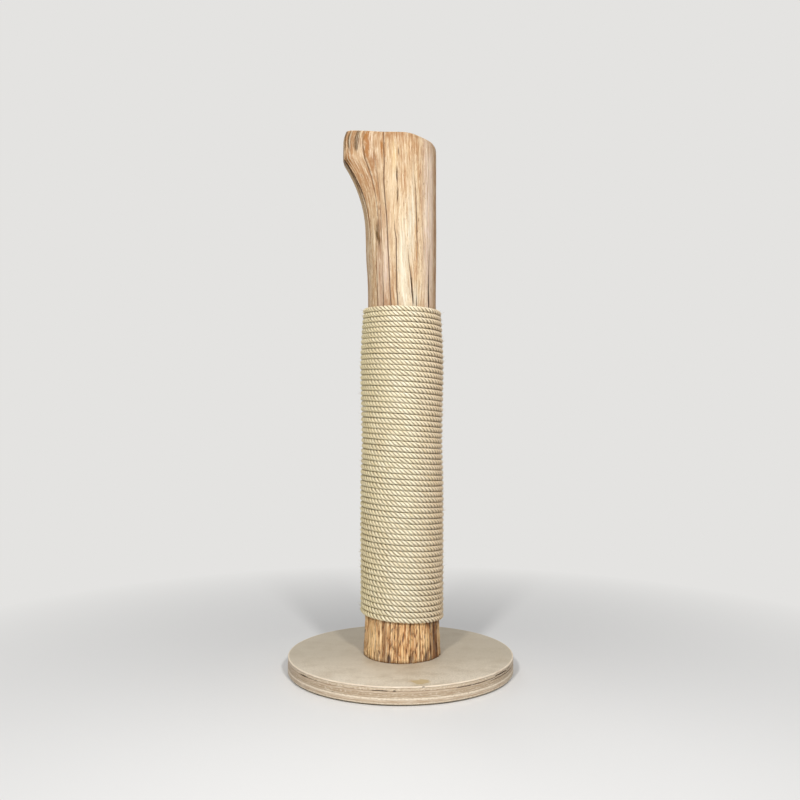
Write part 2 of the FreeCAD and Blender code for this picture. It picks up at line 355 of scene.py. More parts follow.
def rowLayout(height, lines, radius):  # angle and crack width per column, with the columns beside each crack set at its lips
    columns = log["columns"]
    places = [0] + [line[0] for line in lines] + [columns]
    angles = [log["seamAngle"]] + [float(np.interp(height, line[1], line[2])) for line in lines]
    angles.append(log["seamAngle"] + 360)
    layout = np.interp(np.arange(columns), places, angles)
    width = np.zeros(columns)
    for column, heights, _, widths in lines:
        narrowed = log["footCracks"] if height < log["footTop"] else 1
        here = float(np.interp(height, heights, widths)) * mm * narrowed
        lip = math.degrees(max(here / 2, 0.3 * mm) / radius)
        layout[column - 1], layout[column + 1] = layout[column] - lip, layout[column] + lip
        width[column] = here
    return layout, width


def logSurface(surface, angles, heights):  # radius of the CAD log in each direction at each height
    radii = np.empty(len(angles))
    for i, (turn, z) in enumerate(zip(np.radians(angles), heights)):
        outward = Vector((math.cos(turn), math.sin(turn), 0))
        middle = Vector((trunkAxis.x, trunkAxis.y, z))
        hit = surface.ray_cast(middle + outward * 0.3, -outward)[0]
        radii[i] = (hit - middle).length
    return radii


def around(radii, angles, heights):
    turn = np.radians(angles)
    x = trunkAxis.x + radii * np.cos(turn)
    y = trunkAxis.y + radii * np.sin(turn)
    return np.stack([x, y, heights], axis=1)


def cadTree(name):
    bm = bmesh.new()
    bm.from_mesh(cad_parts[name].data)
    tree = BVHTree.FromBMesh(bm)
    bm.free()
    return tree


def topPlane(surface):  # height of the sawn top and its rise towards -X
    probe = 40 * mm
    middle = surface.ray_cast(Vector((trunkAxis.x, trunkAxis.y, 2)), -up)[0].z
    left = surface.ray_cast(Vector((trunkAxis.x - probe, trunkAxis.y, 2)), -up)[0].z
    return middle, (left - middle) / probe


def logHeights(rimFoot):
    hiddenFrom, hiddenTo = ropeFoot + log["hiddenFrom"], ropeHead - log["hiddenTo"]
    bands = ((plateTop, hiddenFrom, log["rowStep"]), (hiddenFrom, hiddenTo, log["hiddenStep"]),
             (hiddenTo, rimFoot, log["rowStep"]))
    heights = []
    for low, high, step in bands:
        count = max(int(round((high - low) / step)), 1)
        heights += [low + (high - low) * i / count for i in range(count)]
    return np.array(heights + [rimFoot])


def fibreRelief(share, rise, heights):  # -1 in a gap between fibres, 1 on a crest, coarse at the foot
    smooth = 0.55 * smoothNoise(share, rise, 100, 12, 3) + 0.35 * smoothNoise(share, rise, 190, 26, 5)
    smooth += 0.3 * smoothNoise(share, rise, 420, 50, 7)
    bast = 0.7 * smoothNoise(share, rise, 118, 26, 15) + 0.45 * smoothNoise(share, rise, 210, 52, 19)
    bast = np.clip(2.3 * np.sqrt(np.abs(bast)) - 0.95, -1, 1) + 0.25 * smoothNoise(share, rise, 420, 110, 23)
    foot = 1 - smoothStep(ropeFoot - 5 * mm, ropeHead - 60 * mm, heights)
    ridge = log["ridge"] + (log["footRidge"] - log["ridge"]) * foot
    return smooth + (bast - smooth) * foot, ridge


# Soft coloured patches on the peeled wood: middle height, middle angle, half height, half angle
logPatches = {
    "sapwood": ((716, 272, 62, 7), (664, 275, 34, 9), (775, 283, 45, 4), (655, 291, 20, 5),
                (800, 288, 60, 2)),
    "pinkish": ((800, 316, 170, 8), (830, 326, 190, 8), (690, 243, 70, 5), (700, 232, 70, 4)),
    "pale": ((836, 254, 60, 7), (906, 219, 16, 4), (880, 236, 50, 3), (60, 214, 60, 8)),
    "yellowed": ((872, 200.5, 34, 2.2), (856, 197, 50, 4), (905, 257, 24, 3)),
    "darkening": ((735, 232, 90, 3.5), (60, 330, 60, 12), (640, 245, 40, 8), (865, 211, 60, 3),
                  (60, 243, 60, 3), (780, 343, 250, 8), (900, 226, 60, 12), (936, 206, 26, 9),
                  (940, 332, 20, 12), (945, 250, 10, 30)),
    "stain": ((941, 222.3, 13, 2.0), (921, 224, 13, 1.4), (921, 239.4, 11, 1.6), (902, 207, 9, 4)),
    # weathered wood, and the four patches low on the foot's front (at 37 to 42 mm) are painted shade that
    # makes the painted contact shadow along the foot's bottom ragged
    "weatheredAndFootShade": ((941, 215.2, 15, 1.6), (926, 215.4, 8, 1.4), (928, 206, 14, 1.6), (901, 203, 8, 5.0),
                  (773, 227.5, 12, 2.4), (758, 231, 10, 1.5), (872, 262, 10, 1.2), (836, 263, 9, 1.0),
                  (913, 264.5, 5, 0.9), (872, 204.8, 34, 0.8), (936, 210.5, 18, 0.9),
                  (945, 206.5, 8, 1.3), (62, 318, 26, 1.6), (80, 327, 22, 2.2), (48, 333, 18, 2.2),
                  (38, 309, 9, 3), (37, 250, 7, 4), (42, 229, 9, 3), (39, 284, 7, 3)),
}


def patchMasks(vertices):
    angle = np.degrees(np.arctan2(vertices[:, 1] - trunkAxis.y, vertices[:, 0] - trunkAxis.x)) % 360
    masks = {}
    for name, patches in logPatches.items():
        mask = np.zeros(len(vertices))
        for height, turn, halfHeight, halfTurn in patches:
            away = np.abs((angle - turn + 180) % 360 - 180) / halfTurn
            above = np.abs(vertices[:, 2] / mm - height) / halfHeight
            mask = np.maximum(mask, np.exp(-0.7 * (away ** 2 + above ** 2)))
        masks[name] = mask
    return masks


def stubCorner(angles, radii):  # 1 at the stub's upper corner, 0 on the round log
    away = np.abs((angles - log["cornerAngle"] + 180) % 360 - 180) / log["cornerSpread"]
    return np.clip(1 - away ** 2, 0, 1) * smoothStep(*log["cornerReach"], radii)


def logSideRows(surface, topMiddle, topRise):  # angles, radii, heights and crack widths, row by row
    lines = lineColumns()
    rimFoot = topMiddle - log["rimFoot"]
    faceFoot = topMiddle - log["faceFoot"]
    rows = []
    for height in logHeights(rimFoot):
        angles, widths = rowLayout(height / mm, lines, log["grainRadius"])
        radii = logSurface(surface, angles, np.full(len(angles), height))
        lean = min(max((height - faceFoot) / (rimFoot - faceFoot), 0), 1) * topRise
        heights = height - lean * radii * np.cos(np.radians(angles))
        if lean > 0:
            radii = logSurface(surface, angles, heights)
        rows.append((angles, radii, heights, widths))
    corner = stubCorner(angles, radii)
    facing = smoothStep(0.1, 0.75, np.cos(np.radians(angles)))
    rim = log["frontRim"] + (log["sideRim"] - log["frontRim"]) * facing
    rimTop = topMiddle - topRise * radii * np.cos(np.radians(angles)) + log["cornerRise"] * corner
    worn = radii - log["cornerWear"] * corner
    for i in range(1, 5):
        share = i / 5
        risen = heights + (rimTop - rim - heights) * share
        rows.append((angles, radii + (worn - radii) * share ** 2, risen, widths))
    for turn in np.radians((0, 22.5, 45, 67.5, 90)):
        rows.append((angles, worn - rim * (1 - math.cos(turn)), rimTop - rim + rim * math.sin(turn), widths))
    return rows, rimFoot, faceFoot


def leftSwell(angles, heights):  # the log's fuller left side
    away = ((angles - log["swellPlace"][1] + 180) % 360 - 180) / log["swellSpread"][1]
    above = (heights / mm - log["swellPlace"][0]) / log["swellSpread"][0]
    return log["swell"] * np.exp(-away ** 2 - above ** 2)


def buildLog(material):
    surface = cadTree("trunk")
    topMiddle, topRise = topPlane(surface)
    sides, rimFoot, faceFoot = logSideRows(surface, topMiddle, topRise)
    columns = log["columns"]
    share = np.arange(columns) / columns
    positions, relief, crack = [], [], []
    for angles, radii, heights, widths in sides:
        rise = (heights - plateTop) / (trunkHigh.z - plateTop)
        fibres, ridge = fibreRelief(share, rise, heights)
        rounded = 0.4 if heights.mean() > rimFoot + 1 * mm else 1.0
        lips = np.roll(widths, 1) + np.roll(widths, -1)
        depth = np.minimum(widths * log["crackDepth"], log["deepest"])
        lump = log["lump"] * smoothNoise(share, rise, 9, 9, 11)
        reach = radii + ridge * fibres * rounded + lump - depth + 0.15 * lips * rounded
        reach += leftSwell(angles, heights)
        positions.append(around(reach, angles, heights))
        relief.append(fibres)
        crack.append(np.clip(widths / (0.9 * mm), 0, 1) + 0.5 * np.clip(lips / (2 * mm), 0, 1))

    cap, capWidths = positions[-1], sides[-1][3]
    capCorner = stubCorner(sides[-1][0], sides[-10][1])  # by the last row under the rim
    heart = np.array([trunkAxis.x + log["heart"][0], trunkAxis.y + log["heart"][1], topMiddle])
    for ring in range(1, log["capRings"]):
        outward = 1 - ring / log["capRings"]
        level = np.full(columns, outward)
        flat = heart + (cap - heart) * outward
        flat[:, 2] = topMiddle - topRise * (flat[:, 0] - trunkAxis.x)
        flat[:, 2] += log["cornerRise"] * capCorner * outward ** 4
        sawMarks = 0.12 * mm * smoothNoise(share, level, 60, 14, 13)
        flat[:, 2] += sawMarks - capWidths * log["crackDepth"] * outward ** 1.5
        positions.append(flat)
        relief.append(smoothNoise(share, level, 60, 14, 17))
        crack.append(np.clip(capWidths / (1.0 * mm), 0, 1) * outward)
    rows = len(positions)
    positions.append(np.array([[heart[0], heart[1], topMiddle], [trunkAxis.x, trunkAxis.y, plateTop]]))
    vertices = np.concatenate(positions)
    ring = np.arange(columns)
    after = (ring + 1) % columns
    last, middleTop, middleFoot = (rows - 1) * columns, rows * columns, rows * columns + 1
    faces = ringFaces(rows, columns)
    faces += [(last + a, last + b, middleTop) for a, b in zip(ring, after)]
    faces += [(b, a, middleFoot) for a, b in zip(ring, after)]

    everyAngle = np.arange(log["seamAngle"], log["seamAngle"] + 361)
    nominal = np.radians(np.interp(ring, nominalColumn(everyAngle), everyAngle))
    grain = vertices.copy()
    side = (len(sides) - 1) * columns
    grain[:side, 0] = np.tile(log["grainRadius"] * np.cos(nominal), len(sides) - 1)
    grain[:side, 1] = np.tile(log["grainRadius"] * np.sin(nominal), len(sides) - 1)
    sawn = np.zeros(len(vertices))
    sawn[side:] = 1
    sawn[side - 2 * columns:side] = 0.5
    sawn[(vertices[:, 0] < trunkLow.x + 3 * mm) & (vertices[:, 2] > faceFoot)] = 0.8
    attributes = {"grain": grain, "relief": np.append(np.concatenate(relief), (0, 0)),
                  "crack": np.append(np.concatenate(crack), (0, 0)), "sawn": sawn}
    attributes.update(patchMasks(vertices))
    return meshObject("log_peeled", vertices, faces, material, attributes)


patchTones = (  # tone and strength of each kind of patch, in the order in which they are laid on
    ("pale", (212, 189, 154), 0.8), ("yellowed", (208, 178, 120), 0.45),
    ("sapwood", (222, 219, 198), 0.75), ("pinkish", (220, 200, 184), 0.8),
    ("darkening", (150, 106, 64), 0.9), ("stain", (150, 98, 42), 1.7), ("weatheredAndFootShade", (92, 66, 32), 1.7),
)


def peeledColour(tree, grain, medium):  # smooth wood above the rope
    broad = streaks(tree, grain, 0.013, 7, 3.0, 3.0)
    zones = streaks(tree, grain, 0.022, 3.2, 41.0, 3.2)
    colour = mixColours(tree, broad, srgb(180, 146, 106), srgb(216, 193, 157))
    colour = tint(tree, colour, remap(tree, zones, 0.5, 1.0, 0.0, 0.3), (202, 152, 104))
    colour = tint(tree, colour, remap(tree, medium, 0.0, 0.45, 0.7, 0.0), (160, 114, 70))
    colour = tint(tree, colour, remap(tree, medium, 0.62, 1.0, 0.0, 0.6), (232, 215, 184))
    dashes = streaks(tree, grain, 0.0026, 7, 71.0, 3.6)
    colour = tint(tree, colour, remap(tree, dashes, 0.0, 0.35, 0.6, 0.0), (150, 106, 66))
    colour = tint(tree, colour, remap(tree, dashes, 0.68, 1.0, 0.0, 0.45), (236, 221, 192))
    wide = grainLine(tree, grain, 0.011, 18, 5.0, 9.0)
    narrow = grainLine(tree, grain, 0.006, 20, 31.0, 7.0)
    colour = tint(tree, colour, maths(tree, "MULTIPLY", wide, 0.7), (140, 92, 52))
    colour = tint(tree, colour, maths(tree, "MULTIPLY", narrow, 0.4), (150, 102, 60))
    flecks = remap(tree, streaks(tree, grain, 0.0020, 7, 53.0, 3.0), 0.0, 0.18, 0.8, 0.0)
    colour = tint(tree, colour, flecks, (112, 72, 38))
    patchy = remap(tree, dashes, 0.1, 0.9, 1.2, 0.45)
    for name, tone, strength in patchTones:
        shape = maths(tree, "MULTIPLY", attribute(tree, name), maths(tree, "MULTIPLY", patchy, strength))
        colour = tint(tree, colour, clampTo1(tree, shape), tone)
    return colour


def bastColour(tree, grain, medium, height):  # coarse fibres left at the foot
    relief = attribute(tree, "relief")
    # partly the fibres' own tone, partly painted light and shade: the crests of the relief are lighter and
    # the gaps between fibres dark brown
    crest = remap(tree, relief, -0.15, 0.75, 0.0, 1.0)
    colour = mixColours(tree, crest, srgb(186, 130, 78), srgb(240, 202, 146))
    colour = tint(tree, colour, remap(tree, relief, -0.85, -0.05, 1.0, 0.0), (78, 46, 20))
    colour = tint(tree, colour, remap(tree, medium, 0.45, 0.9, 0.0, 0.7), (250, 220, 170))
    colour = tint(tree, colour, remap(tree, medium, 0.0, 0.35, 0.6, 0.0), (160, 100, 50))
    ends = streaks(tree, grain, 0.003, 4.5, 37.0, 3.6)
    colour = tint(tree, colour, remap(tree, ends, 0.0, 0.35, 0.95, 0.0), (78, 46, 20))
    colour = tint(tree, colour, remap(tree, ends, 0.75, 1.0, 0.0, 0.5), (250, 222, 176))
    colour = tint(tree, colour, maths(tree, "MULTIPLY", attribute(tree, "pale"), 0.45), (246, 208, 146))
    colour = tint(tree, colour, maths(tree, "MULTIPLY", attribute(tree, "darkening"), 0.8), (108, 66, 34))
    # weathered wood, with painted shade low on the foot's front
    broken = remap(tree, medium, 0.25, 0.75, 1.5, 0.15)
    dark = maths(tree, "MULTIPLY", attribute(tree, "weatheredAndFootShade"), broken)
    colour = tint(tree, colour, clampTo1(tree, dark), (76, 46, 24))
    # painted contact shadow: dark brown on the foot's lowest 7 mm, just above the plate
    contactShadow = remap(tree, height, plateTop + 1 * mm, plateTop + 7 * mm, 0.75, 0.0)
    return tint(tree, colour, contactShadow, (104, 66, 34))


def endGrainColour(tree):  # growth rings on the sawn faces
    position = objectPosition(tree)
    centred = vectorMaths(tree, "ADD", position, (-0.003, -0.006, 0))
    rings = addNode(tree, "ShaderNodeTexWave", {
        "Vector": centred, "Scale": 95.0, "Distortion": 2.2, "Detail": 2.0, "Detail Scale": 1.4,
    }, wave_type="RINGS", rings_direction="Z", wave_profile="SAW")
    colour = mixColours(tree, rings.outputs["Fac"], srgb(206, 166, 124), srgb(234, 206, 168))
    return tint(tree, colour, soil(tree, position, 0.06, 0.5), (186, 140, 96))


def makeLogMaterial():
    material, tree, shader = newMaterial("peeled_log", Roughness=0.62, Specular_IOR_Level=0.35)
    grain = attribute(tree, "grain", "Vector")
    height = component(tree, grain, "Z")
    foot = remap(tree, height, plateTop + 80 * mm, ropeHead - 100 * mm, 1.0, 0.0)
    medium = streaks(tree, grain, 0.0045, 20, 11.0, 3.2)
    fine = streaks(tree, grain, 0.0013, 34, 23.0, 3.4)
    peeled, bast = peeledColour(tree, grain, medium), bastColour(tree, grain, medium, height)
    colour = mixColours(tree, foot, peeled, bast)
    colour = tint(tree, colour, remap(tree, fine, 0.0, 0.4, 0.5, 0.0), (160, 112, 68))
    colour = tint(tree, colour, remap(tree, fine, 0.7, 1.0, 0.0, 0.35), (246, 232, 206))
    colour = mixColours(tree, attribute(tree, "sawn"), colour, endGrainColour(tree))
    # painted shade: the cracks and their lips, on the sides and across the sawn top, are coloured near-black
    # brown for the shade inside them
    crack = clampTo1(tree, attribute(tree, "crack"))
    colour = tint(tree, colour, crack, (58, 32, 14))
    tree.links.new(colour, shader.inputs["Base Color"])
    tree.links.new(remap(tree, medium, 0.0, 1.0, 0.74, 0.52), shader.inputs["Roughness"])
    relief = maths(tree, "MULTIPLY_ADD", medium, 0.6, maths(tree, "MULTIPLY", fine, 0.4))
    bump(tree, shader, relief, 0.5 * mm, 0.8)
    return material


# Plate

plate = {
    "columns": 1080,               # points round the rim
    "rimStep": 0.5 * mm,
    "arris": 1.5 * mm,             # rounding of the upper and lower rims
    "glueGroove": 0.12 * mm,       # depth at each glue line
    "roughness": 0.09 * mm,        # of the sawn rim
    "holeRadius": 4.2 * mm,        # of the screws' holes, which the underside shows
    "mouthRadius": 7.7 * mm,
    "mouthDepth": 5.2 * mm,
    "holeCircle": 38 * mm,
}

# Plies from the top down: its end as a share of the thickness, its tone, how dark its glue line is
plies = (
    (0.085, (218, 203, 182), 0.75), (0.25, (198, 180, 155), 0.95), (0.395, (188, 168, 143), 0.40),
    (0.52, (180, 160, 134), 0.50), (0.625, (186, 167, 142), 0.45), (0.76, (222, 207, 184), 0.50),
    (0.885, (192, 172, 147), 0.55), (1.0, (208, 192, 168), 0.0),
)

# Open core gaps in the rim: angle of both ends, share of the thickness below the top, height, depth
coreGaps = (
    (213.5, 221.0, 0.245, 1.4, 3.0), (221.0, 228.0, 0.250, 0.7, 1.2), (256.8, 264.4, 0.245, 1.0, 2.6),
    (266.6, 268.0, 0.245, 1.6, 2.0), (312.0, 320.5, 0.270, 0.8, 1.4), (320.5, 333.0, 0.200, 1.7, 3.6),
    (333.0, 341.0, 0.170, 0.9, 1.6), (296.0, 313.0, 0.290, 1.0, 1.6), (317.0, 348.0, 0.355, 1.1, 1.8),
    (279.6, 280.9, 0.045, 1.2, 1.6), (36.0, 43.0, 0.42, 1.2, 2.4),
    (92.0, 99.0, 0.25, 1.0, 2.2), (150.0, 154.0, 0.57, 1.2, 2.0), (236.0, 238.0, 0.62, 0.8, 1.0),
)


def buildPlate(material):
    radius = (plateHigh.x - plateLow.x) / 2
    thick = plateHigh.z - plateLow.z
    columns = plate["columns"]
    share = np.arange(columns) / columns
    angle = share * 360
    profile = []  # radius, height and how far in the rim, from the lower rim up and in over the top
    arris = plate["arris"]
    inner = radius - arris
    for turn in np.radians((-90, -60, -30)):
        profile.append((inner + arris * math.cos(turn), plateLow.z + arris + arris * math.sin(turn), 1))
    rows = int(round((thick - 2 * arris) / plate["rimStep"]))
    profile += [(radius, plateLow.z + arris + (thick - 2 * arris) * i / rows, 1) for i in range(rows + 1)]
    for turn in np.radians((30, 60, 90)):
        profile.append((inner + arris * math.cos(turn), plateHigh.z - arris + arris * math.sin(turn), 1))
    profile += [(radius - step, plateHigh.z, 0) for step in (2.6 * mm, 10 * mm, 0.05, 0.10, 0.15, 0.19)]
    points, gap, edge = [], [], []
    turn = np.radians(angle)
    for reach, height, isRim in profile:
        below = (plateHigh.z - height) / thick
        depth = np.zeros(columns)
        if isRim:
            fromGlue = min(abs(below - end) for end, _, _ in plies[:-1]) * thick
            depth += plate["glueGroove"] * math.exp(-(fromGlue / (0.35 * mm)) ** 2)
            depth += plate["roughness"] * smoothNoise(share, np.full(columns, below), 900, 40, 21)
        hollow = np.zeros(columns)
        for start, end, middle, tall, deep in coreGaps:
            along = (angle - start) / (end - start)
            lens = np.clip(np.sin(np.pi * np.clip(along, 0, 1)), 0, 1) ** 0.35
            shape = np.where((along > 0) & (along < 1), lens, 0)
            shape = shape * (1 + 0.25 * smoothNoise(share, np.zeros(columns), 700, 1, 23))
            off = abs(below - middle) * thick / (np.maximum(shape, 0.01) * tall * mm / 2)
            opened = np.clip(1.35 - off, 0, 1) * (shape > 0.05) * isRim
            hollow = np.maximum(hollow, opened * deep * mm)
        inset = reach - depth - hollow
        level = np.full(columns, height)
        points.append(np.stack([inset * np.cos(turn), inset * np.sin(turn), level], axis=1))
        gap.append(np.clip(hollow / (1.2 * mm), 0, 1))
        edge.append(np.full(columns, float(isRim)))
    rowCount = len(points)
    points.append(np.array([[0, 0, plateHigh.z]]))
    vertices = np.concatenate(points)
    faces = ringFaces(rowCount, columns)
    ring = np.arange(columns)
    last = (rowCount - 1) * columns
    faces += [(last + a, last + (a + 1) % columns, rowCount * columns) for a in ring]
    made = meshObject("plywood_plate", vertices, faces, material,
                      {"gap": np.append(np.concatenate(gap), 0), "rim": np.append(np.concatenate(edge), 0)})
    closeUnderside(made.data, columns)
    return made


def closeUnderside(mesh, columns):  # a flat face with the four countersunk holes of the screws
    bm = bmesh.new()
    bm.from_mesh(mesh)
    bm.verts.ensure_lookup_table()
    low = plateLow.z
    outer = [bm.edges.get((bm.verts[i], bm.verts[(i + 1) % columns])) for i in range(columns)]
    sides = 48
    holes = []
    levels = ((plate["mouthRadius"], low), (plate["mouthRadius"], low + 0.5 * mm),
              (plate["holeRadius"], low + plate["mouthDepth"]), (plate["holeRadius"], plateHigh.z - 1 * mm))
    for i in range(4):
        turn = math.radians(45 + 90 * i)
        x = trunkAxis.x + plate["holeCircle"] * math.cos(turn)
        y = trunkAxis.y + plate["holeCircle"] * math.sin(turn)
        corners = [2 * math.pi * k / sides for k in range(sides)]
        rings = [[bm.verts.new((x + r * math.cos(a), y + r * math.sin(a), z)) for a in corners]
                 for r, z in levels]
        for below, above in zip(rings, rings[1:]):
            for k in range(sides):
                n = (k + 1) % sides
                bm.faces.new((below[n], below[k], above[k], above[n]))
        bm.faces.new(rings[-1][::-1])
        holes += [bm.edges.get((rings[0][k], rings[0][(k + 1) % sides])) for k in range(sides)]
    bmesh.ops.triangle_fill(bm, edges=outer + holes, use_beauty=True)
    bmesh.ops.recalc_face_normals(bm, faces=bm.faces)
    for face in bm.faces:
        face.smooth = abs(face.normal.z) < 0.9
    bm.to_mesh(mesh)
    bm.free()


def plyRamp(tree, below, interpolation, stops):
    made = addNode(tree, "ShaderNodeValToRGB", {"Fac": below})
    ramp = made.color_ramp
    ramp.interpolation = interpolation
    ramp.elements[0].position, ramp.elements[0].color = stops[0]
    ramp.elements[1].position, ramp.elements[1].color = stops[-1]
    for place, colour in stops[1:-1]:
        ramp.elements.new(place).color = colour
    return made.outputs["Color"]


def rimColour(tree, position):  # plies in turn along and across the grain, dark at the glue lines
    split = addNode(tree, "ShaderNodeSeparateXYZ", {0: position}).outputs
    bearing = maths(tree, "ARCTAN2", split["Y"], split["X"])
    waver = noiseTexture(tree, {
        "W": maths(tree, "MULTIPLY", bearing, 0.2), "Scale": 60.0, "Detail": 3.0}, noise_dimensions="1D")
    below = remap(tree, split["Z"], plateHigh.z, plateLow.z, 0.0, 1.0)
    below = maths(tree, "MULTIPLY_ADD", maths(tree, "SUBTRACT", waver, 0.5), 0.03, below)
    tones, crossed, start, half = [], [], 0.0, 0.024
    for i, (end, tone, glue) in enumerate(plies):
        light = srgb(*tone)
        line = [channel * (1 - glue) + dark * glue for channel, dark in zip(light, srgb(104, 76, 52))]
        tones += [(start + (half if i else 0), light), (end - half, light), (end, line)]
        crossed.append((start, (i % 2, i % 2, i % 2, 1)))
        start = end
    tone = plyRamp(tree, below, "LINEAR", tones[:-1])
    across = plyRamp(tree, below, "CONSTANT", crossed)
    roundRim = maths(tree, "MULTIPLY", bearing, (plateHigh.x - plateLow.x) / 2)
    place = combine(tree, split["Z"], 0.0, roundRim)
    longGrain = streaks(tree, place, 0.0014, 16, 2.0, 3.0)
    pored = streaks(tree, place, 0.0018, 2.4, 7.0, 2.8)
    grain = mixColours(tree, across, longGrain, pored)
    colour = mixColours(tree, remap(tree, grain, 0.0, 0.45, 0.65, 0.0), tone, srgb(158, 126, 96))
    colour = tint(tree, colour, remap(tree, grain, 0.6, 1.0, 0.0, 0.55), (248, 236, 216))
    # partly sanded wood, partly painted highlight: the top arris of the rim is made lighter
    arris = remap(tree, split["Z"], plateHigh.z - plate["arris"], plateHigh.z - 0.2 * mm, 0, 0.7)
    return mixColours(tree, arris, colour, srgb(238, 222, 198)), grain


def veneerColour(tree, position):  # the handled top face, with one small stain in front
    turned = addNode(tree, "ShaderNodeMapping", {
        "Vector": position, "Rotation": (0, math.radians(90), 0.3)}).outputs[0]
    veneer = streaks(tree, turned, 0.012, 7, 5.0, 1.4)
    pores = streaks(tree, turned, 0.0012, 10, 9.0, 2.4)
    cloud = soil(tree, position, 0.035, 0.9)
    depth = component(tree, position, "Y")
    speckle = noiseTexture(tree, {"Vector": position, "Scale": 420.0, "Detail": 4.0})
    colour = mixColours(tree, veneer, srgb(222, 208, 187), srgb(239, 227, 207))
    colour = tint(tree, colour, remap(tree, pores, 0.0, 0.45, 0.3, 0.0), (172, 154, 128))
    colour = tint(tree, colour, cloud, (198, 180, 154))
    colour = tint(tree, colour, remap(tree, speckle, 0.40, 0.56, 0.4, 0.0), (162, 148, 124))
    colour = tint(tree, colour, remap(tree, speckle, 0.52, 0.68, 0.0, 0.3), (234, 222, 202))
    # painted shade: the top darkens from near its front edge back to its middle and stays so behind, so that
    # its front looks brighter in the lamps' light
    colour = tint(tree, colour, remap(tree, depth, -0.17, -0.02, 0.0, 0.72), (176, 164, 142))
    stain = vectorMaths(tree, "SUBTRACT", position, (0.031, -0.173, plateHigh.z))
    stain = vectorLength(tree, vectorMaths(tree, "MULTIPLY", stain, (1.0, 1.5, 1.0)))
    ragged = noiseTexture(tree, {"Vector": position, "Scale": 75.0, "Detail": 3.0})
    stain = remap(tree, maths(tree, "MULTIPLY_ADD", ragged, 0.034, stain), 0.030, 0.036, 0.75, 0.0)
    return tint(tree, colour, stain, (194, 168, 116)), pores


def makePlywoodMaterial():
    material, tree, shader = newMaterial("plywood", Roughness=0.55, Specular_IOR_Level=0.35)
    position = objectPosition(tree)
    top, pores = veneerColour(tree, position)
    edge, grain = rimColour(tree, position)
    height = component(tree, position, "Z")
    aboveFace = remap(tree, height, plateLow.z + 0.02 * mm, plateLow.z + 0.15 * mm, 0.0, 1.0)
    rim = maths(tree, "MULTIPLY", attribute(tree, "rim"), aboveFace)
    colour = mixColours(tree, rim, top, edge)
    # painted shade: the open core gaps in the rim are coloured near black for the shade inside them
    colour = tint(tree, colour, attribute(tree, "gap"), (48, 33, 22))
    tree.links.new(colour, shader.inputs["Base Color"])
    tree.links.new(remap(tree, pores, 0, 1, 0.62, 0.5), shader.inputs["Roughness"])
    rimRelief = maths(tree, "MULTIPLY", grain, rim)
    bump(tree, shader, maths(tree, "ADD", pores, rimRelief), 0.12 * mm, 0.6)
    return material


# Rope

rope = {
    "turns": 58,
    "diameter": 8.7 * mm,          # as the CAD winds it
    "seat": 0.3 * mm,
    "foot": 64.5 * mm,             # above the plate, in front
    "slant": 3.2 * mm,             # how far a turn lies above level at the left, and below it at the right
    "slantTurns": 16,              # turns over which the slant goes to nothing at the top
    "endAngle": 100.0,
    "uneven": 0.2 * mm,            # how far turns stray from their even places
    "marksPerTurn": 57.5,          # strands that pass in a turn, so that those of neighbouring turns nest
    "strandRadius": 2.12 * mm,
    "strandOffset": 2.5 * mm,
    "press": 1.02,                 # below 1 the turns lie flatter on the log
    "wander": 2.0,                 # how unevenly the rope is twisted
    "plump": 0.26,                 # how much the strands vary in thickness
    "ring": 1.9 * mm,
    "sides": 10,
    "sections": 6,                 # pieces, so that none gets too heavy
    "probeAngle": 330.0,           # a side of the log without the stub, where its girth is read
    "fibreTurn": 0.05,             # length of a strand in which its fibres go round once
}


def ropeRoute(surface):  # the middle of the rope, from its lower end up, and how far it has twisted there
    low = plateTop + rope["foot"] + rope["diameter"] / 2
    high = ropeHead - rope["diameter"] / 2
    perTurn = 96
    turns = np.arange(rope["turns"] * perTurn + 1) / perTurn
    angles = rope["endAngle"] - 360 * turns
    slant = rope["slant"] * np.minimum((rope["turns"] - turns) / rope["slantTurns"], 1)
    heights = low + (high - low) * turns / rope["turns"] - slant * np.cos(np.radians(angles))
    probe = np.linspace(low - 9 * mm, high + 5 * mm, 120)
    radius = logSurface(surface, np.full(len(probe), rope["probeAngle"]), probe)
    reach = np.interp(heights, probe, radius) + rope["seat"] + rope["diameter"] / 2
    inside = np.minimum(np.minimum(turns, rope["turns"] - turns), 1)
    stray = 1 + np.sin(turns * 2 * math.pi * 0.37) + 0.6 * np.sin(turns * 8.2 + 1)
    reach += rope["uneven"] * inside * stray
    heights += rope["uneven"] * inside * np.sin(turns * 2 * math.pi * 0.83 + 2)
    return around(reach, angles, heights), 2 * math.pi * turns * rope["marksPerTurn"] / 3


def lineCurve(name, points, twist):
    curve = bpy.data.curves.new(name, "CURVE")
    curve.dimensions = "3D"
    spline = curve.splines.new("POLY")
    spline.points.add(len(points) - 1)
    spline.points.foreach_set("co", np.append(points, np.ones((len(points), 1)), axis=1).ravel())
    spline.points.foreach_set("tilt", twist)
    made = bpy.data.objects.new(name, curve)
    bpy.context.collection.objects.link(made)
    return made


def geometryTree(name, inputs):
    geometry = [("Geometry", "Geometry", None)]
    return nodeGroup(name, "GeometryNodeTree", geometry + inputs, [("Geometry", "Geometry")])


def capture(tree, geometry, kind, label, value):  # the geometry, and the value as it is at this point
    made = addNode(tree, "GeometryNodeCaptureAttribute", {"Geometry": geometry}, domain="POINT")
    made.capture_items.new(kind, label)
    tree.links.new(value, made.inputs[1])
    return made.outputs


def store(tree, geometry, kind, label, value):  # for a material to read
    return addNode(tree, "GeometryNodeStoreNamedAttribute", {
        "Geometry": geometry, "Name": label, "Value": value}, data_type=kind, domain="POINT").outputs[0]


def withMaterial(tree, geometry, material):
    real = addNode(tree, "GeometryNodeRealizeInstances", {0: geometry}).outputs[0]
    return addNode(tree, "GeometryNodeSetMaterial", {"Geometry": real, "Material": material}).outputs[0]


